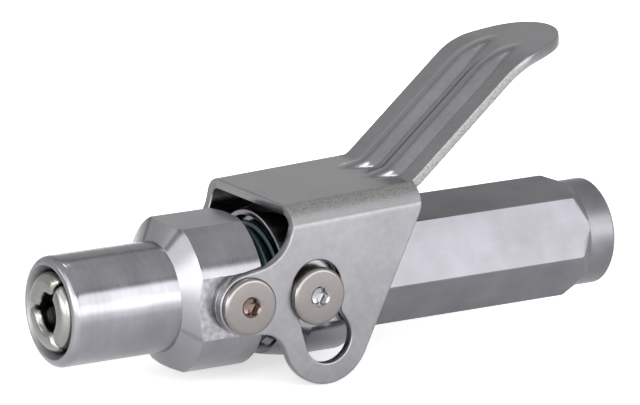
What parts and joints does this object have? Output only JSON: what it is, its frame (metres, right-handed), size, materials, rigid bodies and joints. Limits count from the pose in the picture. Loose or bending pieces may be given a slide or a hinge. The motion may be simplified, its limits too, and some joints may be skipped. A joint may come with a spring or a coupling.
{
  "type": "grease coupler adapter",
  "caption": "Locking grease coupler with a sliding sleeve round three jaws, a ribbed sheet lever with cam slots and a hexagonal hose adapter with a threaded inlet.",
  "frame": {"origin": "centre of the threaded inlet at the adapter's rear face, on the bore axis", "axes": "+X along the bore towards the hose, +Z towards the lever, +Y across the ears"},
  "size_m": [0.0917, 0.0272, 0.0453],
  "materials": {
    "plated_steel": "satin nickel plated turned steel",
    "bar_steel": "drawn hexagonal bar, satin plated",
    "lever_sheet": "zinc plated pressed sheet",
    "screw_steel": "satin stainless",
    "jaw_steel": "bright hardened steel",
    "spring_steel": "dark oiled spring wire",
    "dark_rubber": "moulded nitrile rubber",
    "brass": "turned brass"
  },
  "bodies": {
    "body": {"body": "plated_steel", "adapter": "bar_steel", "adapter_seal": "dark_rubber", "check_seat": "brass", "jaw_ring": "dark_rubber", "guide_screws": "screw_steel", "guide_bushes": "screw_steel", "guide_washers": "screw_steel", "return_spring": "spring_steel", "seal_spring": "spring_steel", "check_spring": "spring_steel"},
    "sleeve": {"sleeve": "plated_steel", "pivot_screws": "screw_steel", "pivot_washers": "screw_steel"},
    "lever": {"lever": "lever_sheet"},
    "jaw_1": {"jaw_1": "jaw_steel"},
    "jaw_2": {"jaw_2": "jaw_steel"},
    "jaw_3": {"jaw_3": "jaw_steel"},
    "seal": {"nozzle_seal": "dark_rubber", "seal_pusher": "brass"},
    "check": {"check_ball": "jaw_steel"}
  },
  "joints": [
    {"name": "sleeve_slide", "type": "slide", "parent": "body", "child": "sleeve", "axis": [-1, 0, 0], "range_m": [0, 0.003], "deforming": ["return_spring"]},
    {"name": "lever_swing", "type": "hinge", "parent": "sleeve", "child": "lever", "pos_m": [-0.0658, 0, 0.00025], "axis": [0, -1, 0], "range_deg": [0, 27]},
    {"name": "seal_slide", "type": "slide", "parent": "body", "child": "seal", "axis": [1, 0, 0], "range_m": [0, 0.001], "stiffness_N_per_m": 1500, "springref_m": -0.002, "deforming": ["seal_spring"]},
    {"name": "check_slide", "type": "slide", "parent": "body", "child": "check", "axis": [-1, 0, 0], "range_m": [0, 0.0008], "stiffness_N_per_m": 400, "springref_m": -0.001, "deforming": ["check_spring"]},
    {"name": "jaw_1_rock", "type": "hinge", "parent": "body", "child": "jaw_1", "pos_m": [-0.0778, 0.00175, 0.00303], "axis": [0, -0.866, 0.5], "range_deg": [0, 0.6]},
    {"name": "jaw_2_rock", "type": "hinge", "parent": "body", "child": "jaw_2", "pos_m": [-0.0778, -0.0035, 0], "axis": [0, 0, -1], "range_deg": [0, 0.6]},
    {"name": "jaw_3_rock", "type": "hinge", "parent": "body", "child": "jaw_3", "pos_m": [-0.0778, 0.00175, -0.00303], "axis": [0, 0.866, 0.5], "range_deg": [0, 0.6]}
  ],
  "couplings": [
    {"joint": "sleeve_slide", "follows": "lever_swing", "m_per_rad": 0.0063},
    {"joint": "jaw_1_rock", "follows": "lever_swing", "ratio": 0.022222},
    {"joint": "jaw_2_rock", "follows": "lever_swing", "ratio": 0.022222},
    {"joint": "jaw_3_rock", "follows": "lever_swing", "ratio": 0.022222}
  ]
}
